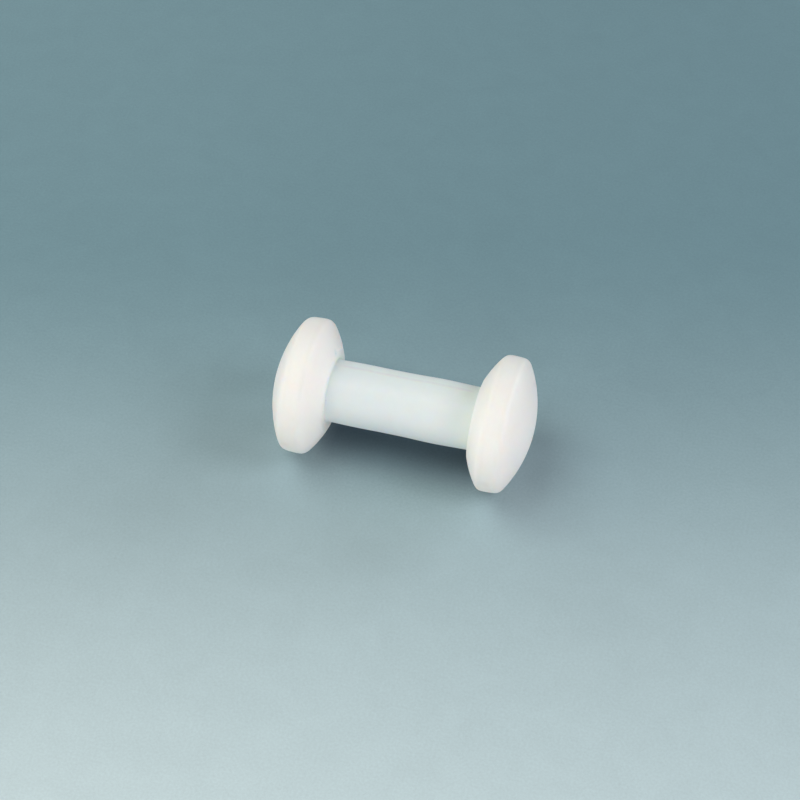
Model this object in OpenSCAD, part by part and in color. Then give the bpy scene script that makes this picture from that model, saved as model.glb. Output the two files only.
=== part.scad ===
// Magnetic stir bar of the dumbbell kind: two lens-shaped heads on a straight round shaft,
// all in one white fluoropolymer jacket that is moulded round a rod magnet.
//
// Frame: +X along the bar's axis, +Z up, origin at the bar's centre. It lies on both rims.

/* [Heads] */
// Diameter of both heads, across their rims
head_d = 20; // [18:0.5:24]
// Distance between the middle planes of the two heads
head_spacing = 29.2; // [27:0.1:34]
// Width of the straight band round each rim
rim_w = 2.5; // [1.6:0.1:3.2]
// Angle by which the rim's band narrows towards the bar's end, so that it leaves its mould
rim_draft = 2.5; // [0.5:0.5:5]
// Radius of the rounding that leads from the rim into each dome
rim_corner_r = 0.5; // [0.3:0.05:0.9]
// Radius of the dome on the outer side of each head
outer_dome_r = 18; // [16:0.2:26]
// Radius of the dome on the inner side of each head, towards the shaft
inner_dome_r = 15.8; // [14:0.1:22]

/* [Shaft] */
// Diameter of the shaft between the heads
shaft_d = 9.3; // [8:0.1:11]
// Width of the flat ring round the shaft's root, where a head's inner dome ends
root_ring_w = 1.5; // [1:0.1:2]
// Radius of the fillet where the shaft runs into a head
fillet_r = 0.3; // [0.15:0.05:0.8]

/* [Magnet] */
// Thickness of the jacket round the magnet, along the shaft
shaft_wall = 1.15; // [0.8:0.05:2.4]
// Thickness of the jacket over each end of the magnet, on the bar's axis
end_wall = 3.1; // [2:0.1:5]
// Chamfer on both ends of the magnet
magnet_chamfer = 0.4; // [0.2:0.1:0.8]

/* [Hidden] */
$fn = 96;

// Two arcs that should only touch pass each other by this much, so that they cross at a clear point
seam = 0.002;

shaft_r = shaft_d / 2;
rim_half = rim_w / 2;
inner_rim_r = head_d / 2;
outer_rim_r = inner_rim_r - rim_w * tan(rim_draft);

// Height of a dome's centre over the middle plane of its head. The dome's arc touches the rim's
// rounding from outside, so their centres lie dome_r - rim_corner_r apart.
function dome_centre(dome_r, rim_r) =
    rim_half - sqrt(pow(dome_r - rim_corner_r + seam, 2) - pow(rim_r - rim_corner_r, 2));

outer_pole = dome_centre(outer_dome_r, outer_rim_r) + outer_dome_r; // from the middle plane to the tip
bar_l = head_spacing + 2 * outer_pole;

// Height of the flat ring over the middle plane of its head: that of the dome at the ring's edge
root_h = dome_centre(inner_dome_r, inner_rim_r)
    + sqrt(pow(inner_dome_r, 2) - pow(shaft_r + root_ring_w, 2));

magnet_r = shaft_r - shaft_wall;
magnet_l = bar_l - 2 * end_wall;

// The sections below lie in the half plane of a revolve: x is the radius, y the height over
// a head's middle plane, and +y points to the bar's end.

// One side of a head, from its middle plane up: the dome, and the rounding down to the rim's band
module dome_section(dome_r, rim_r) {
    centre_h = dome_centre(dome_r, rim_r);
    corner_x = rim_r - rim_corner_r;
    // The ray from the dome's centre through the rounding's centre, where both arcs meet
    function ray(h) = [corner_x * (h - centre_h) / (rim_half - centre_h), h];
    intersection() {
        translate([0, centre_h]) circle(dome_r);
        polygon([[0, 0], ray(0), ray(dome_r), [0, dome_r]]);
    }
    translate([corner_x, rim_half]) circle(rim_corner_r);
}

// The inner side of a head, with its dome cut level by the flat ring
module inner_section() {
    difference() {
        dome_section(inner_dome_r, inner_rim_r);
        translate([-1, root_h]) square([shaft_r + root_ring_w + 2, inner_dome_r]);
    }
}

// The fillet between the flat ring and the shaft
module fillet_section() {
    difference() {
        translate([shaft_r - fillet_r, root_h - fillet_r]) square(2 * fillet_r);
        translate([shaft_r + fillet_r, root_h + fillet_r]) circle(fillet_r + seam);
    }
}

// A head with the fillet on its inner side
module head_section() {
    dome_section(outer_dome_r, outer_rim_r);
    polygon([[0, -rim_half], [inner_rim_r, -rim_half], [outer_rim_r, rim_half], [0, rim_half]]);
    mirror([0, 1]) {
        inner_section();
        fillet_section();
    }
}

// The magnet's outline, which the jacket closes round without a gap
module magnet_section() {
    half_l = magnet_l / 2;
    polygon([
        [0, -half_l],
        [magnet_r - magnet_chamfer, -half_l],
        [magnet_r, magnet_chamfer - half_l],
        [magnet_r, half_l - magnet_chamfer],
        [magnet_r - magnet_chamfer, half_l],
        [0, half_l]
    ]);
}

// Turns a section about the bar's axis, which lies along +X
module turned() {
    rotate([0, 90, 0]) rotate_extrude() children();
}

// Both heads and the shaft in one piece, closed all round the magnet
module ptfe_jacket() {
    color("#f2efe9") turned() difference() {
        union() {
            for (end = [0, 1]) mirror([0, end]) translate([0, head_spacing / 2]) head_section();
            translate([0, -head_spacing / 2]) square([shaft_r, head_spacing]);
        }
        magnet_section();
    }
}

// Straight rod magnet, sealed in the jacket
module magnet_core() {
    color("#4b4d50") turned() magnet_section();
}

ptfe_jacket();
magnet_core();
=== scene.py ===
"""Magnetic stir bar of the dumbbell kind: a rod magnet sealed in a white fluoropolymer jacket.

Units are metres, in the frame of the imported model: +X runs along the bar, +Z is up, and the
origin is the bar's centre. The jacket is worked out here as one closed surface of revolution, with
the swells and the small unevenness of a moulded piece. The magnet keeps its modelled shape.
"""

from __future__ import annotations

import logging
import math
from dataclasses import dataclass
from enum import Enum
from functools import partial

import bpy
import numpy as np
from mathutils import Matrix, Vector

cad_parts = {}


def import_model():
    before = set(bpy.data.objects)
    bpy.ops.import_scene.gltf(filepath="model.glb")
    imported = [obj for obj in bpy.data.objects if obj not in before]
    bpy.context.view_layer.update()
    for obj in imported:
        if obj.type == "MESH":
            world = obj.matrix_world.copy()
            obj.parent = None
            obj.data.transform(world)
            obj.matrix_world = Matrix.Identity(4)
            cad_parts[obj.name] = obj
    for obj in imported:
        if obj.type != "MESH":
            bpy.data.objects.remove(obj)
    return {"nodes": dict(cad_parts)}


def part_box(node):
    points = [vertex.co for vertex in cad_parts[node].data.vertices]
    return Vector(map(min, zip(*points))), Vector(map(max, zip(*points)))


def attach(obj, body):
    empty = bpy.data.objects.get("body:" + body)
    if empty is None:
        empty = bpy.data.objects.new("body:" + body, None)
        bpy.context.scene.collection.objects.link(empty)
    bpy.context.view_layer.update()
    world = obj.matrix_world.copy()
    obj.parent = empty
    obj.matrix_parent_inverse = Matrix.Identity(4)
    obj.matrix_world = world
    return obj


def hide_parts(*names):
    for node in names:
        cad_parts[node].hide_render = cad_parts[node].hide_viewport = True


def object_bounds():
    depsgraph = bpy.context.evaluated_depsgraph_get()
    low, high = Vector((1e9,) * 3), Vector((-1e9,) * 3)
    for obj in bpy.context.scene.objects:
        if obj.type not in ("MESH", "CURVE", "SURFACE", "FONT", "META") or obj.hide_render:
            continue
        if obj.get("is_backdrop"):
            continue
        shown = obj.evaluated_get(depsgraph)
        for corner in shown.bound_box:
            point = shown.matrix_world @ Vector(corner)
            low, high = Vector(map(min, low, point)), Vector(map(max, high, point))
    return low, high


MM = 0.001
LOG = logging.getLogger("stir_bar")

Pair = tuple[float, float]
Triple = tuple[float, float, float]
Colour = Triple
Shell = tuple[np.ndarray, list[tuple[int, ...]]]
Socket = bpy.types.NodeSocket

ALONG: Triple = (1.0, 0.0, 0.0)
ACROSS: Triple = (0.0, 1.0, 0.0)
BLACK: Colour = (0.0, 0.0, 0.0)
WHITE: Colour = (1.0, 1.0, 1.0)


class Node(Enum):
    """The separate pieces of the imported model."""

    JACKET = "ptfe_jacket"
    MAGNET = "magnet_core"


class End(Enum):
    """The bar's two ends, by the sign of X."""

    LEFT = -1
    RIGHT = 1


# ---------- node building


class Graph:
    """A node tree with short calls for the nodes that the finishes are made of."""

    # The vector operations that give a number, and the places of a Mix node's sockets for colours.
    TO_NUMBER = ("DOT_PRODUCT", "LENGTH", "DISTANCE")
    MIX_FACTOR, MIX_FIRST, MIX_SECOND, MIX_RESULT = 0, 6, 7, 2

    def __init__(self, tree: bpy.types.NodeTree) -> None:
        """Keeps the tree.

        Args:
            tree: The node tree of a material, a group or a world.
        """
        self.tree = tree

    def node(self, kind: str, **settings: object) -> bpy.types.Node:
        """Adds a node and sets its properties.

        Args:
            kind: The node's type name.
            **settings: Properties of the node.

        Returns:
            The new node.
        """
        made = self.tree.nodes.new(kind)
        for name, value in settings.items():
            setattr(made, name, value)
        return made

    def feed(self, socket: Socket, value: object) -> None:
        """Links an output to an input, or writes a constant into it.

        Args:
            socket: The input to fill.
            value: An output socket, a number, or a tuple of numbers.
        """
        if isinstance(value, Socket):
            self.tree.links.new(value, socket)
        else:
            socket.default_value = value

    def fill(self, node: bpy.types.Node, **inputs: object) -> bpy.types.Node:
        """Feeds a node's inputs by name.

        Args:
            node: The node.
            **inputs: Values by input name, with underscores for spaces.

        Returns:
            The same node.
        """
        for name, value in inputs.items():
            self.feed(node.inputs[name.replace("_", " ")], value)
        return node

    def math(self, operation: str, *values: object) -> Socket:
        """One operation on numbers.

        Args:
            operation: The operation's name, such as MULTIPLY.
            *values: Sockets or numbers, in order.

        Returns:
            The result.
        """
        made = self.node("ShaderNodeMath", operation=operation)
        for socket, value in zip(made.inputs, values):
            self.feed(socket, value)
        return made.outputs["Value"]

    def product(self, first: object, *others: object) -> object:
        """The product of any count of numbers.

        Args:
            first: Socket or number.
            *others: Sockets or numbers.

        Returns:
            The result.
        """
        for other in others:
            first = self.math("MULTIPLY", first, other)
        return first

    def vector(self, operation: str, *values: object) -> Socket:
        """One operation on vectors.

        Args:
            operation: The operation's name, such as DOT_PRODUCT.
            *values: Sockets or triples, in order.

        Returns:
            The result, which is a number or a vector, as the operation has it.
        """
        made = self.node("ShaderNodeVectorMath", operation=operation)
        for socket, value in zip(made.inputs, values):
            self.feed(socket, value)
        return made.outputs["Value" if operation in self.TO_NUMBER else "Vector"]

    def off_axis(self, place: Socket) -> Socket:
        """Distance from the bar's axis: the length of the place's Y and Z.

        Args:
            place: Object coordinates.

        Returns:
            The distance.
        """
        return self.vector("LENGTH", self.vector("MULTIPLY", place, (0.0, 1.0, 1.0)))

    def ramp(self, value: Socket, low: float, high: float, to_low: float = 0.0,
             to_high: float = 1.0) -> Socket:
        """Carries one range to another, easing in and out, and holds it beyond both ends.

        Args:
            value: The value to map.
            low: The value that becomes to_low.
            high: The value that becomes to_high.
            to_low: Result at low.
            to_high: Result at high.

        Returns:
            The mapped value.
        """
        made = self.node("ShaderNodeMapRange", interpolation_type="SMOOTHSTEP")
        self.fill(made, Value=value, From_Min=low, From_Max=high, To_Min=to_low, To_Max=to_high)
        return made.outputs["Result"]

    def mix(self, factor: object, first: object, second: object, blend: str = "MIX") -> Socket:
        """Mixes two colours.

        Args:
            factor: Share of the second colour.
            first: Colour socket or triple.
            second: Colour socket or triple.
            blend: The blend's name.

        Returns:
            The mixed colour.
        """
        made = self.node("ShaderNodeMix", data_type="RGBA", blend_type=blend, clamp_factor=True)
        self.feed(made.inputs[self.MIX_FACTOR], factor)
        self.feed(made.inputs[self.MIX_FIRST], as_rgba(first))
        self.feed(made.inputs[self.MIX_SECOND], as_rgba(second))
        return made.outputs[self.MIX_RESULT]

    def noise(self, place: Socket, cells_per_metre: float, detail: float = 2.0, rough: float = 0.5,
              warp: float = 0.0) -> Socket:
        """Cloudy noise from 0 to 1 with a mean near 0.5.

        Args:
            place: The vector that it is read at.
            cells_per_metre: How fine it is.
            detail: Octaves on top of the first.
            rough: Weight of each octave against the last.
            warp: How far the noise distorts itself.

        Returns:
            The noise value.
        """
        made = self.node("ShaderNodeTexNoise", noise_dimensions="3D")
        self.fill(made, Vector=place, Scale=cells_per_metre, Detail=detail, Roughness=rough,
                  Distortion=warp)
        return made.outputs["Fac"]

    def group(self, tree: bpy.types.NodeTree, **inputs: object) -> bpy.types.Node:
        """Places a shader group and feeds its inputs.

        Args:
            tree: The group.
            **inputs: Values by socket name.

        Returns:
            The group's node.
        """
        return self.fill(self.node("ShaderNodeGroup", node_tree=tree), **inputs)

    def bump(self, height: Socket, strength: float, depth: float) -> Socket:
        """A normal that follows small heights.

        Args:
            height: The height, about 0 to 1.
            strength: How much the normal turns.
            depth: What the height 1 stands for.

        Returns:
            The normal.
        """
        made = self.node("ShaderNodeBump")
        return self.fill(made, Strength=strength, Distance=depth, Height=height).outputs["Normal"]


class MaterialGraph(Graph):
    """The graph of a new material, with one Principled shader that feeds the output."""

    def __init__(self, name: str, effects: SharedEffects) -> None:
        """Makes the material.

        Args:
            name: The material's name.
            effects: The shared shader groups.
        """
        self.material = bpy.data.materials.new(name)
        self.material.use_nodes = True
        super().__init__(self.material.node_tree)
        self.tree.nodes.clear()
        self.effects = effects
        self.place = self.node("ShaderNodeTexCoord").outputs["Object"]
        self.along = self.vector("DOT_PRODUCT", self.place, ALONG)
        self.shader = self.node("ShaderNodeBsdfPrincipled")
        self.output = self.fill(self.node("ShaderNodeOutputMaterial"), Surface=self.shader.outputs["BSDF"])


def as_rgba(value: object) -> object:
    """A triple with alpha 1 added, or a socket as it is.

    Args:
        value: A triple or a socket.

    Returns:
        What a colour input takes.
    """
    return (*value, 1.0) if isinstance(value, tuple) else value


def new_group(name: str, inputs: dict[str, str],
              outputs: dict[str, str]) -> tuple[Graph, bpy.types.Node, bpy.types.Node]:
    """Starts a shader group with named sockets.

    Args:
        name: The group's name.
        inputs: Kind of each input, by its name.
        outputs: Kind of each output, by its name.

    Returns:
        The group's graph, its input node and its output node.
    """
    tree = bpy.data.node_groups.new(name, "ShaderNodeTree")
    for way, sockets in (("INPUT", inputs), ("OUTPUT", outputs)):
        for label, kind in sockets.items():
            tree.interface.new_socket(name=label, in_out=way, socket_type=f"NodeSocket{kind}")
    graph = Graph(tree)
    return graph, graph.node("NodeGroupInput"), graph.node("NodeGroupOutput")


def clouding_group() -> bpy.types.NodeTree:
    """Uneven density, as in pressed powder or cast metal.

    Broad clouds and fine grain are two noises about zero, each times its own depth, and one plus
    their sum is a factor for brightness.

    Returns:
        The group, with inputs Place, Clouds and Grain, and outputs Factor and Grain.
    """
    graph, source, result = new_group("clouding", {"Place": "Vector", "Clouds": "Float", "Grain": "Float"},
                                      {"Factor": "Float", "Grain": "Float"})
    place = source.outputs["Place"]
    broad = graph.noise(place, cells_per_metre=210.0, detail=2.0, rough=0.55, warp=0.6)
    fine = graph.noise(place, cells_per_metre=2600.0, detail=2.0, rough=0.6)
    clouds = graph.product(graph.math("SUBTRACT", broad, 0.5), source.outputs["Clouds"])
    grain = graph.product(graph.math("SUBTRACT", fine, 0.5), source.outputs["Grain"])
    graph.fill(result, Factor=graph.math("ADD", graph.math("ADD", clouds, grain), 1.0), Grain=fine)
    return graph.tree


def turning_group() -> bpy.types.NodeTree:
    """Fine lines that a lathe leaves round the bar's axis.

    The height is a sine of the place along the bar plus the radius, so that the lines run round
    the shaft and in circles over the domes. A slow noise makes them come and go.

    Returns:
        The group, with inputs Place and Pitch, and output Height from 0 to 1.
    """
    graph, source, result = new_group("turning_lines", {"Place": "Vector", "Pitch": "Float"},
                                      {"Height": "Float"})
    place = source.outputs["Place"]
    from_middle = graph.math("ABSOLUTE", graph.vector("DOT_PRODUCT", place, ALONG))
    turns = graph.math("DIVIDE", graph.math("ADD", from_middle, graph.off_axis(place)),
                       source.outputs["Pitch"])
    wave = graph.math("SINE", graph.product(turns, math.tau))
    patchy = graph.ramp(graph.noise(place, cells_per_metre=170.0, detail=1.0), low=0.38, high=0.66)
    graph.fill(result, Height=graph.product(graph.math("MULTIPLY_ADD", wave, 0.5, 0.5), patchy))
    return graph.tree


@dataclass(frozen=True)
class SharedEffects:
    """The shader groups that more than one finish places."""

    clouding: bpy.types.NodeTree
    turning: bpy.types.NodeTree


# ---------- finishes


@dataclass(frozen=True)
class Mottling:
    """How uneven a material is.

    Attributes:
        clouds: Depth of its broad clouds, as a share of the brightness.
        grain: Depth of its fine grain.
        roughness: Roughness where the grain's noise is low, and where it is high.
        grain_span: The low and the high value of that noise.
    """

    clouds: float
    grain: float
    roughness: Pair
    grain_span: Pair = (0.3, 0.7)

    def apply(self, graph: MaterialGraph, colour: Socket) -> tuple[Socket, Socket]:
        """Feeds the shader's roughness, and mottles a colour.

        Args:
            graph: The material's graph.
            colour: The even colour.

        Returns:
            The mottled colour, and the grain's noise.
        """
        clouding = graph.group(graph.effects.clouding, Place=graph.place, Clouds=self.clouds,
                               Grain=self.grain)
        grain = clouding.outputs["Grain"]
        graph.fill(graph.shader, Roughness=graph.ramp(grain, *self.grain_span, *self.roughness))
        shade = graph.node("ShaderNodeVectorMath", operation="SCALE")
        graph.fill(shade, Vector=colour, Scale=clouding.outputs["Factor"])
        return shade.outputs["Vector"], grain


@dataclass(frozen=True)
class StainAndShadePatch:
    """A ragged, soft-edged patch of another tint, for real specks and for painted shade and reflection.

    It dies away between two shares of its reach, and its edge is as ragged as rags_per_metre.
    """

    centre: Triple
    reach: float
    tint: Colour
    depth: float
    fade: Pair = (0.45, 1.5)
    rags_per_metre: float = 900.0

    def mask(self, graph: MaterialGraph) -> Socket:
        """Where the patch shows: by the way from its centre plus a noise times its reach.

        Args:
            graph: The material's graph.

        Returns:
            The share of its tint.
        """
        away = graph.vector("DISTANCE", graph.place, self.centre)
        ragged = graph.math("MULTIPLY_ADD", graph.noise(graph.place, self.rags_per_metre, detail=3.0),
                            self.reach, away)
        full, none = self.fade
        return graph.ramp(ragged, full * self.reach, none * self.reach, self.depth, 0.0)


@dataclass(frozen=True)
class Streak:
    """A fine, slightly wavy mark along the shaft.

    Its bearing is its angle round the bar, from +Y towards +Z. It dies away between two shares of
    its half width, sways from side to side, and fades by the share that broken says where its
    noise is below break_span. Side and ends are the distances towards the bearing and along the
    bar between which it sets in and ends.
    """

    bearing: float
    half_width: float
    tint: Colour
    depth: float
    broken: float
    fade: Pair = (0.35, 1.3)
    sway: float = 0.3 * MM
    sways_per_metre: float = 420.0
    breaks_per_metre: float = 900.0
    break_span: Pair = (0.35, 0.62)
    side: Pair = (3.255 * MM, 4.185 * MM)
    ends: Pair = (9.0 * MM, 10.4 * MM)

    def mask(self, graph: MaterialGraph) -> Socket:
        """Where the streak shows, and how strongly.

        It is 1 where the way round the shaft from the bearing, plus a slow wave along the bar, is
        near nothing, times 1 on that side of the shaft, times 1 between the heads, times a noise
        along the bar by which it comes and goes.

        Args:
            graph: The material's graph.

        Returns:
            The share of its tint.
        """
        cosine, sine = math.cos(self.bearing), math.sin(self.bearing)
        outward = graph.vector("DOT_PRODUCT", graph.place, (0.0, cosine, sine))
        around = graph.vector("DOT_PRODUCT", graph.place, (0.0, -sine, cosine))
        lengthwise = graph.vector("MULTIPLY", graph.place, ALONG)
        wave = graph.math("SUBTRACT", graph.noise(lengthwise, self.sways_per_metre), 0.5)
        wavy = graph.math("ABSOLUTE", graph.math("MULTIPLY_ADD", wave, self.sway, around))
        full, none = self.fade
        near = graph.ramp(wavy, full * self.half_width, none * self.half_width, 1.0, 0.0)
        facing = graph.ramp(outward, *self.side)
        between = graph.ramp(graph.math("ABSOLUTE", graph.along), *self.ends, 1.0, 0.0)
        patchy = graph.ramp(graph.noise(lengthwise, self.breaks_per_metre, detail=1.0), *self.break_span,
                            1.0 - self.broken, 1.0)
        return graph.product(near, facing, between, patchy, self.depth)


@dataclass(frozen=True)
class RidgePaintedShade:
    """Painted shade along the ridges where each rim's band meets the domes.

    The painted shade dies away between two distances from a ridge, and sets in between two radii. The tint
    multiplies the colour.
    """

    head_middle: float
    rim_half: float
    fade: Pair = (0.05 * MM, 0.8 * MM)
    radius: Pair = (8.4 * MM, 9.4 * MM)
    tint: Colour = (0.972, 0.977, 0.972)

    def mask(self, graph: MaterialGraph) -> Socket:
        """Where the ridges get their painted shade.

        It is 1 where the way along the bar from a head's middle plane is near half the rim's
        width, on either side, times 1 out at the rim.

        Args:
            graph: The material's graph.

        Returns:
            The mask.
        """
        from_middle = graph.math("SUBTRACT", graph.math("ABSOLUTE", graph.along), self.head_middle)
        from_ridge = graph.math("SUBTRACT", graph.math("ABSOLUTE", from_middle), self.rim_half)
        near = graph.ramp(graph.math("ABSOLUTE", from_ridge), *self.fade, 1.0, 0.0)
        return graph.product(near, graph.ramp(graph.off_axis(graph.place), *self.radius))


@dataclass(frozen=True)
class PtfeFinish:
    """Waxy white fluoropolymer, cooler where its wall is thin over the dark magnet.

    The thin colour has gone to 1 / e where the wall is deeper by thin_fade. The shaft's right end
    is multiplied by end_tint, which sets in along end_band. Glow_radius is how far red, green and
    blue light spread inside, against each other. The bump's heights count against ripples of
    height 1, and bump_depth is what that height stands for. The last mark lies on top.
    """

    magnet_radius: float
    magnet_half_length: float
    shaft_radius: float
    ridges: RidgePaintedShade
    thick_colour: Colour = (0.937, 0.888, 0.870)
    thin_colour: Colour = (0.893, 1.000, 0.903)
    thin_fade: float = 0.35 * MM
    end_band: Pair = (6.0 * MM, 10.2 * MM)
    end_tint: Colour = (0.985, 1.0, 0.952)
    mottling: Mottling = Mottling(clouds=0.05, grain=0.03, roughness=(0.38, 0.47))
    ior: float = 1.36
    glow_radius: Triple = (1.0, 0.8, 0.65)
    glow_scale: float = 2.2 * MM
    turning_pitch: float = 0.11 * MM
    turning_height: float = 0.25
    grain_height: float = 0.35
    ripples_per_metre: float = 650.0
    bump_strength: float = 0.35
    bump_depth: float = 0.006 * MM
    marks: tuple[Streak | StainAndShadePatch, ...] = (
        Streak(math.radians(76.5), 0.34 * MM, (0.860, 0.895, 0.850), 0.8, 0.4),
        Streak(math.radians(80.0), 0.16 * MM, (0.905, 0.965, 0.850), 0.7, 0.8),
        Streak(math.radians(113.5), 0.35 * MM, (0.905, 0.985, 0.930), 0.35, 0.4),
        # Painted shade, bluish, in the recess round the left joint's top.
        StainAndShadePatch((-10.9 * MM, 1.9 * MM, 6.0 * MM), 0.85 * MM, (0.66, 0.76, 0.79), 0.55),
        StainAndShadePatch((-10.8 * MM, 1.8 * MM, 5.9 * MM), 0.16 * MM, (0.42, 0.50, 0.55), 0.6),
        StainAndShadePatch((-10.9 * MM, 4.1 * MM, 4.7 * MM), 0.16 * MM, (0.46, 0.52, 0.56), 0.5),
        StainAndShadePatch((-10.6 * MM, -4.07 * MM, 2.25 * MM), 0.14 * MM, (0.55, 0.42, 0.40), 0.45),
        # Painted reflection of the right head: a warm patch on the shaft's top beside it.
        StainAndShadePatch((9.3 * MM, 0.2 * MM, 4.6 * MM), 1.3 * MM, (0.80, 0.83, 0.70), 0.26),
        # Painted shade low on both rims, near where they meet the floor: this line and the next.
        StainAndShadePatch((-15.3 * MM, -9.6 * MM, -2.8 * MM), 1.5 * MM, (0.72, 0.66, 0.58), 0.22),
        StainAndShadePatch((14.3 * MM, -9.7 * MM, -2.3 * MM), 1.4 * MM, (0.70, 0.63, 0.60), 0.2),
    )

    def thin_mask(self, graph: MaterialGraph) -> Socket:
        """How much of the magnet shows through: 1 over the shaft, fading with the wall's depth.

        The depth is the distance to the magnet's cylinder, and the mask is e to the power of
        minus the depth beyond the shaft's wall over the fade.

        Args:
            graph: The material's graph.

        Returns:
            The mask.
        """
        past_end = graph.math("SUBTRACT", graph.math("ABSOLUTE", graph.along), self.magnet_half_length)
        past_side = graph.math("SUBTRACT", graph.off_axis(graph.place), self.magnet_radius)
        past = graph.fill(graph.node("ShaderNodeCombineXYZ"), X=past_end, Y=past_side)
        depth = graph.vector("LENGTH", graph.vector("MAXIMUM", past.outputs["Vector"], (0.0, 0.0, 0.0)))
        wall = self.shaft_radius - self.magnet_radius
        power = graph.math("DIVIDE", graph.math("SUBTRACT", wall, depth), self.thin_fade)
        return graph.math("EXPONENT", graph.math("MINIMUM", power, 0.0))

    def material(self, effects: SharedEffects) -> bpy.types.Material:
        """Builds the material.

        Args:
            effects: The shared shader groups.

        Returns:
            The material.
        """
        graph = MaterialGraph("white_fluoropolymer", effects)
        thin = self.thin_mask(graph)
        colour = graph.mix(thin, self.thick_colour, self.thin_colour)
        end_share = graph.product(graph.ramp(graph.along, *self.end_band), thin)
        colour = graph.mix(end_share, colour, self.end_tint, "MULTIPLY")
        # Painted shade on the rims' ridges.
        colour = graph.mix(self.ridges.mask(graph), colour, self.ridges.tint, "MULTIPLY")
        for mark in self.marks:
            colour = graph.mix(mark.mask(graph), colour, mark.tint)
        mottled, grain = self.mottling.apply(graph, colour)
        lines = graph.group(effects.turning, Place=graph.place, Pitch=self.turning_pitch)
        ripple = graph.noise(graph.place, self.ripples_per_metre, detail=1.0)
        height = graph.math("MULTIPLY_ADD", lines.outputs["Height"], self.turning_height,
                            graph.math("MULTIPLY_ADD", grain, self.grain_height, ripple))
        graph.shader.subsurface_method = "RANDOM_WALK"
        graph.fill(graph.shader, Base_Color=mottled, Subsurface_Weight=1.0,
                   Subsurface_Radius=self.glow_radius, Subsurface_Scale=self.glow_scale, IOR=self.ior,
                   Normal=graph.bump(height, self.bump_strength, self.bump_depth))
        return graph.material


@dataclass(frozen=True)
class CastMagnetFinish:
    """Dark cast magnet alloy, with fine crystals, ground round its side."""

    light_grain: Colour = (0.335, 0.340, 0.345)
    dark_grain: Colour = (0.235, 0.240, 0.245)
    crystals_per_metre: float = 1900.0
    mottling: Mottling = Mottling(clouds=0.25, grain=0.2, roughness=(0.38, 0.60))
    grinding_pitch: float = 0.16 * MM
    bump_strength: float = 0.6
    bump_depth: float = 0.01 * MM

    def material(self, effects: SharedEffects) -> bpy.types.Material:
        """Builds the material.

        Args:
            effects: The shared shader groups.

        Returns:
            The material.
        """
        graph = MaterialGraph("cast_magnet_alloy", effects)
        crystals = graph.node("ShaderNodeTexVoronoi", voronoi_dimensions="3D", feature="F1")
        graph.fill(crystals, Vector=graph.place, Scale=self.crystals_per_metre)
        tone = graph.fill(graph.node("ShaderNodeSeparateColor"), Color=crystals.outputs["Color"])
        colour = graph.mix(tone.outputs["Red"], self.dark_grain, self.light_grain)
        mottled, grain = self.mottling.apply(graph, colour)
        lines = graph.group(effects.turning, Place=graph.place, Pitch=self.grinding_pitch)
        height = graph.math("ADD", lines.outputs["Height"], grain)
        graph.fill(graph.shader, Base_Color=mottled, Metallic=1.0,
                   Normal=graph.bump(height, self.bump_strength, self.bump_depth))
        return graph.material


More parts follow.
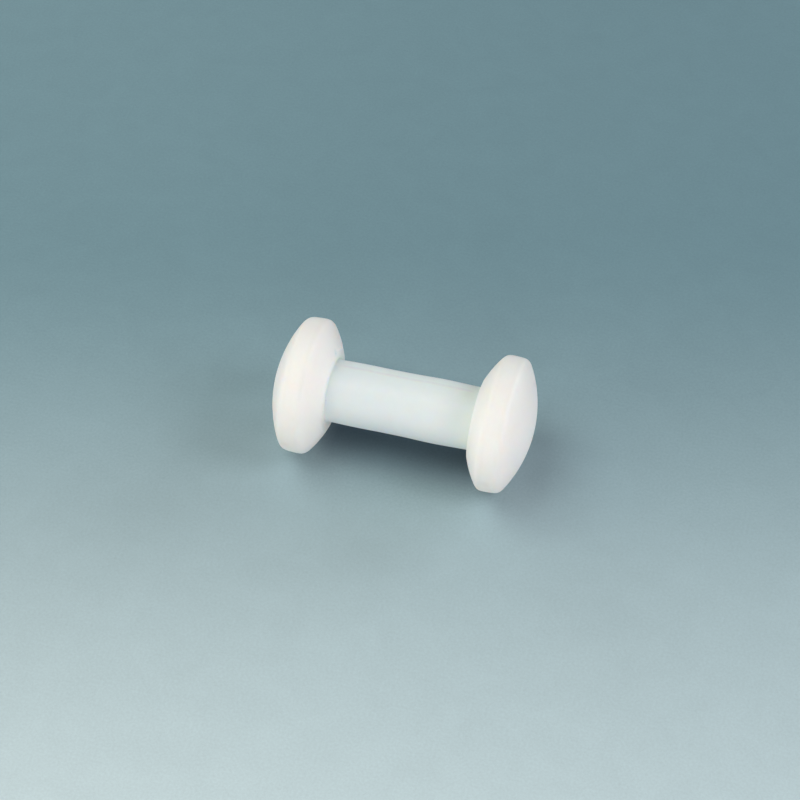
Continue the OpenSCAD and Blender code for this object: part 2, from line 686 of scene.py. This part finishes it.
@dataclass(frozen=True)
class FloorFinish:
    """Matt pale blue-grey sheet with a painted fall-off of the light: lightest in front and on the left.

    Its colour, a painted fall-off of the light, changes towards the back over depth_span, and is
    multiplied by a tint for each side, full at side_reach. The painted shadow under the shaft has its
    middle, its inner and its outer reach along the bar and across it. The sheet turns into the backdrop
    over backdrop_span.
    """

    near_colour: Colour = (0.636, 0.738, 0.774)
    far_colour: Colour = (0.189, 0.296, 0.342)
    depth_span: Pair = (-90 * MM, 48 * MM)
    left_tint: Colour = (1.065, 1.050, 1.042)
    right_tint: Colour = (0.935, 0.950, 0.958)
    side_reach: float = 70 * MM
    painted_shadow_tint: Colour = (0.34, 0.36, 0.41)
    painted_shadow_middle: Pair = (0.0, 4.0 * MM)
    painted_shadow_inner: Pair = (10.0 * MM, 2.0 * MM)
    painted_shadow_outer: Pair = (16.0 * MM, 13.0 * MM)
    mottling: Mottling = Mottling(clouds=0.08, grain=0.22, roughness=(0.75, 0.85), grain_span=(0.2, 0.8))
    backdrop_colour: Colour = (0.60, 0.70, 0.74)
    backdrop_span: Pair = (110 * MM, 420 * MM)

    def painted_shadow(self, graph: MaterialGraph) -> Socket:
        """Tint of the sheet, with a painted shadow close under the shaft.

        It goes from white to the painted shadow's tint by the product of two steps, one along the bar and
        one across it.

        Args:
            graph: The material's graph.

        Returns:
            The tint.
        """
        steps = []
        for axis, middle, inner, outer in zip((ALONG, ACROSS), self.painted_shadow_middle,
                                              self.painted_shadow_inner, self.painted_shadow_outer):
            reach = graph.math("SUBTRACT", graph.vector("DOT_PRODUCT", graph.place, axis), middle)
            steps.append(graph.ramp(graph.math("ABSOLUTE", reach), inner, outer, 1.0, 0.0))
        return graph.mix(graph.product(*steps), WHITE, self.painted_shadow_tint)

    def material(self, effects: SharedEffects, away: Vector, right: Vector) -> bpy.types.Material:
        """Builds the material.

        Args:
            effects: The shared shader groups.
            away: Level direction from the viewer to the back.
            right: Level direction to the viewer's right.

        Returns:
            The material.
        """
        graph = MaterialGraph("pale_floor", effects)
        # Painted fall-off of the light: darker towards the back.
        depth = graph.vector("DOT_PRODUCT", graph.place, tuple(away))
        colour = graph.mix(graph.ramp(depth, *self.depth_span), self.near_colour, self.far_colour)
        # Painted fall-off of the light: lighter on the left, darker on the right.
        side = graph.vector("DOT_PRODUCT", graph.place, tuple(right))
        tint = graph.mix(graph.ramp(side, -self.side_reach, self.side_reach), self.left_tint,
                         self.right_tint)
        # Painted shadow under the shaft.
        tint = graph.mix(1.0, tint, self.painted_shadow(graph), "MULTIPLY")
        mottled, _ = self.mottling.apply(graph, graph.mix(1.0, colour, tint, "MULTIPLY"))
        # Well away from the bar the sheet turns into the backdrop, for the viewer alone.
        far_off = graph.ramp(graph.vector("LENGTH", graph.place), *self.backdrop_span)
        open_space = graph.product(far_off, graph.node("ShaderNodeLightPath").outputs["Is Camera Ray"])
        graph.fill(graph.shader, Base_Color=graph.mix(open_space, mottled, BLACK),
                   Emission_Color=graph.mix(open_space, BLACK, self.backdrop_colour),
                   Emission_Strength=1.0, Specular_IOR_Level=0.0)
        # From below, the viewer looks through the sheet at the bar's underside.
        either = graph.node("ShaderNodeMixShader")
        from_below = graph.node("ShaderNodeNewGeometry").outputs["Backfacing"]
        clear = graph.node("ShaderNodeBsdfTransparent").outputs["BSDF"]
        for socket, value in zip(either.inputs, (from_below, graph.shader.outputs["BSDF"], clear)):
            graph.feed(socket, value)
        graph.fill(graph.output, Surface=either.outputs["Shader"])
        return graph.material


# ---------- meshes

# Evenly spaced numbers or points from a first to a last, which is left out
spaced = partial(np.linspace, endpoint=False)


def leg(slope: float, other: float) -> float:
    """One leg of a right triangle: the root of the long side squared less the other leg squared.

    Args:
        slope: The long side.
        other: The other leg.

    Returns:
        The leg.
    """
    return math.sqrt(slope ** 2 - other ** 2)


def arc(centre: Pair, radius: float, start: float, stop: float, steps: int) -> np.ndarray:
    """Points on an arc: the centre plus the radius times (cosine, sine) of spaced angles.

    Args:
        centre: Along the bar and away from its axis.
        radius: The arc's radius.
        start: First angle, in radians.
        stop: Last angle, in radians, which is left out.
        steps: Number of points.

    Returns:
        Array of steps by 2.
    """
    angle = spaced(start, stop, steps)
    return np.stack((centre[0] + radius * np.cos(angle), centre[1] + radius * np.sin(angle)), axis=1)


def mirrored(half: np.ndarray) -> np.ndarray:
    """A whole outline, from the -X tip to the +X tip.

    Args:
        half: Its +X half: rows of place along the bar and radius, from the middle to the tip.

    Returns:
        Rows in the same form.
    """
    return np.concatenate((half[:0:-1] * (-1.0, 1.0), half))


def revolve(profile: np.ndarray, around: int, swell: np.ndarray | float = 0.0,
            drift: np.ndarray | float = 0.0, facing: int = 1) -> Shell:
    """Turns a profile about the bar's axis, and closes both ends with a point on the axis.

    A vertex lies at (along plus drift, radius times cosine, radius times sine) of its angle, where
    the radius is the profile's plus the swell. The first and last rows are the two poles.

    Args:
        profile: Rows of place along the bar and radius, from the -X end to the +X end.
        around: Number of steps round the axis.
        swell: Change of radius at each inner row and step.
        drift: Change of place along the bar at each inner row and step.
        facing: 1 for faces that point away from the axis, and -1 for faces towards it.

    Returns:
        Vertices, and faces as tuples of vertex numbers.
    """
    inner = profile[1:-1]
    angle = np.arange(around) * (math.tau / around)
    radius = np.repeat(inner[:, 1:2], around, axis=1) + swell
    along = np.repeat(inner[:, 0:1], around, axis=1) + drift
    rings = np.stack((along, radius * np.cos(angle), radius * np.sin(angle)), axis=2)
    poles = np.array(((profile[0, 0], 0.0, 0.0), (profile[-1, 0], 0.0, 0.0)))
    vertices = np.concatenate((rings.reshape(-1, 3), poles))
    count = len(inner)
    first_pole, last_pole = count * around, count * around + 1
    grid = np.arange(count * around).reshape(count, around)
    turned = np.roll(grid, -1, axis=1)
    quads = np.stack((grid[:-1], turned[:-1], turned[1:], grid[1:]), axis=2).reshape(-1, 4)
    first = np.stack((np.full(around, first_pole), turned[0], grid[0]), axis=1)
    last = np.stack((np.full(around, last_pole), grid[-1], turned[-1]), axis=1)
    faces = [tuple(row[::facing]) for rows in (quads, first, last) for row in rows.tolist()]
    return vertices, faces


def mesh_object(name: str, shells: tuple[Shell, ...]) -> bpy.types.Object:
    """One smooth-shaded mesh object from one or more shells.

    Args:
        name: The object's name.
        shells: Vertices and faces of each shell.

    Returns:
        The object, linked to the scene at the origin.
    """
    vertices, faces, offset = [], [], 0
    for points, polygons in shells:
        vertices.append(points)
        faces.extend(tuple(i + offset for i in polygon) for polygon in polygons)
        offset += len(points)
    mesh = bpy.data.meshes.new(name)
    mesh.from_pydata(np.concatenate(vertices).tolist(), [], faces)
    mesh.polygons.foreach_set("use_smooth", np.ones(len(mesh.polygons), dtype=bool))
    mesh.update()
    mesh.validate()
    made = bpy.data.objects.new(name, mesh)
    bpy.context.scene.collection.objects.link(made)
    return made


# ---------- the object


@dataclass(frozen=True)
class Swell:
    """A smooth local change of the shaft's radius: a bell curve along the bar."""

    place: float
    reach: float
    rise: float


@dataclass(frozen=True)
class Lean:
    """How far one head stands out of square to the bar."""

    end: End
    angle: float


@dataclass(frozen=True)
class Steps:
    """How many steps each stretch of the jacket's outline has, and each shell round the bar.

    Easing is the number of places on the outline that its softer wear is averaged from.
    """

    shaft: int = 56
    fillet: int = 12
    ring: int = 6
    lip: int = 6
    inner_dome: int = 24
    rim_corner: int = 18
    band: int = 8
    outer_dome: int = 44
    easing: int = 1600
    around: int = 256
    around_cavity: int = 96


@dataclass(frozen=True)
class Jacket:
    """The one-piece white jacket: two lens-shaped heads and the shaft between them.

    The rim's corners are worn softer over rim_ease along the outline, from the radius eased_from
    outwards. Both heads lean towards one angle round the bar, from +Y towards +Z, and the lean
    sets in from lean_from over lean_ease along the bar. Slow waves of the height wave_rise come
    wave_lobes times round the bar.
    """

    head_radius: float
    tip: float
    magnet_radius: float
    magnet_half_length: float
    head_spacing: float = 29.2 * MM
    rim_width: float = 2.5 * MM
    rim_draft: float = math.radians(2.5)
    rim_corner: float = 0.5 * MM
    rim_ease: float = 0.45 * MM
    eased_from: float = 7.0 * MM
    outer_dome: float = 18.0 * MM
    inner_dome: float = 15.8 * MM
    shaft_radius: float = 4.65 * MM
    root_ring: float = 1.5 * MM
    ring_rounding: float = 0.25 * MM
    fillet: float = 0.25 * MM
    magnet_chamfer: float = 0.4 * MM
    swells: tuple[Swell, ...] = (
        Swell(0.0, 14.0 * MM, -0.035 * MM),
        Swell(5.0 * MM, 3.2 * MM, 0.10 * MM),
        Swell(-6.0 * MM, 1.8 * MM, 0.025 * MM),
        Swell(-10.0 * MM, 1.1 * MM, -0.035 * MM),
        Swell(10.0 * MM, 1.1 * MM, -0.02 * MM),
    )
    leans: tuple[Lean, ...] = (Lean(End.LEFT, math.radians(0.72)), Lean(End.RIGHT, math.radians(1.55)))
    lean_towards: float = math.radians(40.4)
    lean_from: float = 9.6 * MM
    lean_ease: float = 0.5 * MM
    wave_rise: float = 0.0035 * MM
    wave_lobes: tuple[int, ...] = (2, 3, 5, 7)
    wave_lengths: Pair = (5.0 * MM, 11.0 * MM)
    seed: int = 7
    steps: Steps = Steps()

    @property
    def middle(self) -> float:
        """Place of a head's middle plane along the bar."""
        return self.head_spacing / 2

    @property
    def angle(self) -> np.ndarray:
        """Angles of the steps round the bar, from +Y towards +Z, as one row."""
        return (np.arange(self.steps.around) * (math.tau / self.steps.around))[None, :]

    @property
    def corner(self) -> Pair:
        """Centre of the rim's corner towards the shaft, along the bar and away from its axis."""
        return self.middle - self.rim_width / 2, self.head_radius - self.rim_corner

    def inner_side(self) -> np.ndarray:
        """The +X half of the outline, from the shaft's middle to the start of the rim's band.

        It is a straight shaft, a fillet, the flat ring round the shaft's root, a rounding, the
        inner dome and the rim's corner. The last two roundings touch the dome from inside, so
        their centres lie its radius less their own from its centre.

        Returns:
            Rows of place along the bar and radius.
        """
        along, low = self.corner
        centre = along + leg(self.inner_dome - self.rim_corner, low)
        ring = centre - leg(self.inner_dome, self.shaft_radius + self.root_ring)
        lip_along = ring + self.ring_rounding
        lip_radius = leg(self.inner_dome - self.ring_rounding, centre - lip_along)
        root = math.atan2(lip_radius, lip_along - centre)
        shoulder = math.atan2(low, along - centre)
        shaft_end, foot = ring - self.fillet, self.shaft_radius + self.fillet
        steps = self.steps
        return np.concatenate((
            spaced((0.0, self.shaft_radius), (shaft_end, self.shaft_radius), steps.shaft),
            arc((shaft_end, foot), self.fillet, -math.pi / 2, 0.0, steps.fillet),
            spaced((ring, foot), (ring, lip_radius), steps.ring),
            arc((lip_along, lip_radius), self.ring_rounding, math.pi, root, steps.lip),
            arc((centre, 0.0), self.inner_dome, root, shoulder, steps.inner_dome),
            arc(self.corner, self.rim_corner, shoulder, math.pi / 2 - self.rim_draft, steps.rim_corner),
        ))

    def outer_side(self) -> np.ndarray:
        """The rest of that half: the rim's slightly tapered band, its other corner, and the dome.

        The corner's centre moves along the band until it lies the dome's radius less the corner's
        from the dome's centre. Where away is the way from the dome's centre to the first corner's,
        and ahead the part of that along the band, it moves by the root of (ahead squared, less
        away squared, plus that distance squared), less ahead.

        Returns:
            Rows of place along the bar and radius.
        """
        corner = np.array(self.corner)
        centre = np.array((self.tip - self.outer_dome, 0.0))
        normal = np.array((math.sin(self.rim_draft), math.cos(self.rim_draft)))
        level = np.array((normal[1], -normal[0]))
        away = corner - centre
        ahead = away @ level
        reach = math.sqrt(ahead ** 2 - away @ away + (self.outer_dome - self.rim_corner) ** 2) - ahead
        other = corner + reach * level
        crown = math.atan2(other[1], other[0] - centre[0])
        start = corner + self.rim_corner * normal
        steps = self.steps
        return np.concatenate((
            spaced(start, start + reach * level, steps.band),
            arc(other, self.rim_corner, math.pi / 2 - self.rim_draft, crown, steps.rim_corner),
            arc(centre, self.outer_dome, crown, 0.0, steps.outer_dome),
            np.array(((self.tip, 0.0),)),
        ))

    def eased(self, outline: np.ndarray) -> np.ndarray:
        """The outline with its rim's corners worn softer, and their ends run out slowly.

        Each point moves to the mean of the outline round it, weighted by a bell curve of the way
        along it: in full from a millimetre outside eased_from, and not at all inside eased_from.
        The radius is then scaled back to the head's.

        Args:
            outline: Rows of place along the bar and radius.

        Returns:
            Rows in the same order.
        """
        way = np.concatenate(((0.0,), np.cumsum(np.hypot(*np.diff(outline, axis=0).T))))
        even = np.linspace(0.0, way[-1], self.steps.easing)
        dense = np.stack([np.interp(even, way, column) for column in outline.T], axis=1)
        weight = np.exp(-0.5 * ((way[:, None] - even[None, :]) / self.rim_ease) ** 2)
        mean = (weight / weight.sum(axis=1, keepdims=True)) @ dense
        share = np.clip((outline[:, 1:2] - self.eased_from) / MM, 0.0, 1.0)
        moved = outline + share * (mean - outline)
        lift = self.head_radius / moved[:, 1:2].max()
        return moved * np.concatenate((np.ones_like(share), 1.0 + share * (lift - 1.0)), axis=1)

    def profile(self) -> np.ndarray:
        """The jacket's whole outline.

        Returns:
            Rows of place along the bar and radius, from the -X tip to the +X tip.
        """
        return mirrored(self.eased(np.concatenate((self.inner_side(), self.outer_side()))))

    def unevenness(self, profile: np.ndarray) -> np.ndarray:
        """Change of radius that moulding and shrinking leave.

        On the shaft it is a sum of bell curves along the bar. Everywhere it adds a few
        thousandths of a millimetre of slow sines along and round the bar, times the radius over
        the head's radius, so that it dies away at the poles.

        Args:
            profile: The outline, poles included.

        Returns:
            Array of inner rows by steps round the axis.
        """
        along, radius = profile[1:-1, 0:1], profile[1:-1, 1:2]
        on_shaft = np.clip((self.shaft_radius + self.fillet - radius) / self.fillet, 0.0, 1.0)
        bells = sum(s.rise * np.exp(-(((along - s.place) / s.reach) ** 2)) for s in self.swells)
        rng = np.random.default_rng(self.seed)
        waves = np.zeros((len(along), self.steps.around))
        for lobes in self.wave_lobes:
            length = rng.uniform(*self.wave_lengths)
            phase = rng.uniform(0.0, math.tau, 2)
            waves += self.wave_rise / math.sqrt(lobes) * np.sin(math.tau * along / length + phase[0]) \
                * np.cos(lobes * self.angle + phase[1])
        return bells * on_shaft + waves * (radius / self.head_radius)

    def drift(self, profile: np.ndarray) -> np.ndarray:
        """Shift along the bar that stands each head a little out of square.

        It is the tangent of the head's lean, times the radius, times the cosine of the angle from
        lean_towards, and eases in where the shaft ends. So the heads keep their radii.

        Args:
            profile: The outline, poles included.

        Returns:
            Array of inner rows by steps round the axis.
        """
        along, radius = profile[1:-1, 0:1], profile[1:-1, 1:2]
        share = np.clip((np.abs(along) - self.lean_from) / self.lean_ease, 0.0, 1.0)
        eased = share * share * (3.0 - 2.0 * share)
        slope = sum(math.tan(lean.angle) * (np.sign(along) == lean.end.value) for lean in self.leans)
        return slope * eased * radius * np.cos(self.angle - self.lean_towards)

    def cavity(self) -> np.ndarray:
        """Outline of the sealed space that the magnet fills, with its two chamfered ends.

        Returns:
            Rows of place along the bar and radius.
        """
        end, side, cut = self.magnet_half_length, self.magnet_radius, self.magnet_chamfer
        return mirrored(np.array(((0.0, side), (end / 2, side), (end - cut, side), (end, side - cut),
                                  (end, side / 2), (end, 0.0))))

    def build(self, effects: SharedEffects) -> bpy.types.Object:
        """Makes the jacket, its outside and the wall of its sealed space, as one piece.

        Args:
            effects: The shared shader groups.

        Returns:
            The object.
        """
        outline = self.profile()
        outside = revolve(outline, self.steps.around, self.unevenness(outline), self.drift(outline))
        inside = revolve(self.cavity(), self.steps.around_cavity, facing=-1)
        made = mesh_object("white_jacket", (outside, inside))
        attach(made, "root")
        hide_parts(Node.JACKET.value)
        finish = PtfeFinish(self.magnet_radius, self.magnet_half_length, self.shaft_radius,
                            RidgePaintedShade(self.middle, self.rim_width / 2))
        made.data.materials.append(finish.material(effects))
        return made


def dress_magnet(magnet: bpy.types.Object, effects: SharedEffects) -> None:
    """Gives every slot of the rod magnet its finish, and leaves its modelled shape.

    Args:
        magnet: The magnet's node.
        effects: The shared shader groups.
    """
    finish = CastMagnetFinish().material(effects)
    if not magnet.material_slots:
        magnet.data.materials.append(finish)
    for slot in magnet.material_slots:
        slot.material = finish


# ---------- studio


def sight(azimuth: float, elevation: float) -> Vector:
    """Direction from the bar to a viewer, by angles in degrees.

    Args:
        azimuth: Turn about +Z from straight in front, towards +X.
        elevation: Height over the level.

    Returns:
        The unit vector.
    """
    turn, rise = math.radians(azimuth), math.radians(elevation)
    return Vector((math.sin(turn) * math.cos(rise), -math.cos(turn) * math.cos(rise), math.sin(rise)))


@dataclass(frozen=True)
class Softbox:
    """A round area lamp that faces the bar.

    Its azimuth is the turn about +Z from straight in front towards +X, and its elevation the
    height over the level, both in degrees. Its level is the light on a white surface facing it.
    """

    name: str
    azimuth: float
    elevation: float
    level: float
    colour: Colour
    distance: float = 0.70
    size: float = 0.38

    def place(self) -> None:
        """Makes the lamp.

        The power that lights a facing white surface at the level 1 is the square of pi times the
        distance, for a lamp that spreads as a plain sheet does.
        """
        data = bpy.data.lights.new(self.name, "AREA")
        data.shape = "DISK"
        data.size = self.size
        data.energy = self.level * (math.pi * self.distance) ** 2
        data.color = self.colour
        made = bpy.data.objects.new(self.name, data)
        direction = sight(self.azimuth, self.elevation)
        made.location = direction * self.distance
        made.rotation_euler = direction.to_track_quat("Z", "Y").to_euler()
        bpy.context.scene.collection.objects.link(made)


@dataclass(frozen=True)
class Studio:
    """Floor, lamps, world and camera.

    The camera's angles are in degrees, and its lens and sensor in millimetres. It looks at a
    point that lies shift_right and shift_up of the bar's centre, as the picture shows it.
    """

    floor_height: float
    azimuth: float = 15.0
    elevation: float = 48.6
    distance: float = 340 * MM
    lens: float = 106.0
    sensor: float = 36.0
    nearest: float = 10 * MM
    shift_right: float = -0.68 * MM
    shift_up: float = 0.66 * MM
    floor_half: float = 3.0
    floor_cells: int = 8
    lamps: tuple[Softbox, ...] = (
        Softbox("right_high", 87.0, 42.0, 0.295, (0.97, 0.98, 1.00)),
        Softbox("right_back", 135.0, 22.0, 0.280, (0.93, 0.98, 1.00)),
        Softbox("right_front", 60.0, 7.0, 0.265, (1.00, 0.90, 0.91)),
        Softbox("front", 15.0, 7.0, 0.315, (1.00, 0.99, 0.965)),
        Softbox("left_front", -45.0, 22.0, 0.155, (0.97, 0.985, 0.87)),
        Softbox("left_low", -75.0, 7.0, 0.280, (1.00, 0.885, 0.845)),
        Softbox("left_high", -93.0, 42.0, 0.120, (0.97, 0.955, 0.83)),
        Softbox("left_back", -135.0, 22.0, 0.150, (0.97, 1.00, 0.99)),
        Softbox("top_front", -45.0, 65.0, 0.230, (0.92, 1.00, 0.995)),
        Softbox("top_back", -105.0, 65.0, 0.195, (0.91, 1.00, 0.945)),
    )

    def camera(self) -> None:
        """Places the camera, with its picture level, and aims it a little beside the bar's centre."""
        back, right = sight(self.azimuth, self.elevation), sight(self.azimuth + 90.0, 0.0)
        up = back.cross(right)
        data = bpy.data.cameras.new("camera")
        data.lens = self.lens
        data.sensor_width = self.sensor
        data.clip_start = self.nearest
        made = bpy.data.objects.new("camera", data)
        aim = right * self.shift_right + up * self.shift_up
        turned = Matrix((right, up, back)).transposed().to_4x4()
        turned.translation = aim + back * self.distance
        made.matrix_world = turned
        bpy.context.scene.collection.objects.link(made)
        bpy.context.scene.camera = made

    def floor(self, effects: SharedEffects) -> None:
        """Lays a wide level sheet under the bar.

        Args:
            effects: The shared shader groups.
        """
        count = self.floor_cells + 1
        side = np.linspace(-self.floor_half, self.floor_half, count)
        x, y = np.meshgrid(side, side, indexing="ij")
        points = np.stack((x, y, np.full_like(x, self.floor_height)), axis=2).reshape(-1, 3)
        grid = np.arange(count * count).reshape(count, count)
        quads = np.stack((grid[:-1, :-1], grid[1:, :-1], grid[1:, 1:], grid[:-1, 1:]), axis=2)
        made = mesh_object("floor", ((points, [tuple(quad) for quad in quads.reshape(-1, 4).tolist()]),))
        away, right = -sight(self.azimuth, 0.0), sight(self.azimuth + 90.0, 0.0)
        made.data.materials.append(FloorFinish().material(effects, away, right))
        made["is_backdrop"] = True

    def light(self) -> None:
        """Places the lamps, and a pale room that the viewer sees but that adds no light."""
        for lamp in self.lamps:
            lamp.place()
        world = bpy.data.worlds.new("room")
        world.use_nodes = True
        graph = Graph(world.node_tree)
        seen = graph.node("ShaderNodeLightPath").outputs["Is Camera Ray"]
        graph.fill(world.node_tree.nodes["Background"], Color=as_rgba(FloorFinish.backdrop_colour),
                   Strength=seen)
        bpy.context.scene.world = world
        bpy.context.scene.view_settings.view_transform = "Standard"


# ---------- main


def plain(bounds: object) -> object:
    """Nested lists of numbers from any nesting of vectors or tuples.

    Args:
        bounds: A box as the frame gives it, or one number of it.

    Returns:
        The same as plain lists.
    """
    if hasattr(bounds, "__len__"):
        return [plain(item) for item in bounds]
    return float(bounds)


def main() -> None:
    """Loads the frame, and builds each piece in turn."""
    logging.basicConfig(level=logging.INFO, format="%(name)s: %(message)s")
    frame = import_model()
    cad_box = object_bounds()
    jacket_low, jacket_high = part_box(Node.JACKET.value)
    magnet_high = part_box(Node.MAGNET.value)[1]

    studio = Studio(floor_height=jacket_low[2])
    studio.camera()
    effects = SharedEffects(clouding_group(), turning_group())
    jacket = Jacket(head_radius=jacket_high[1], tip=jacket_high[0],
                    magnet_radius=magnet_high[1], magnet_half_length=magnet_high[0])
    white = jacket.build(effects)
    LOG.info("%s: %d faces", white.name, len(white.data.polygons))
    dress_magnet(frame["nodes"][Node.MAGNET.value], effects)
    studio.floor(effects)
    studio.light()
    LOG.info("studio: %d lamps", len(studio.lamps))

    {"cad": plain(cad_box), "visual": plain(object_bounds())}


if __name__ == "__main__":
    main()
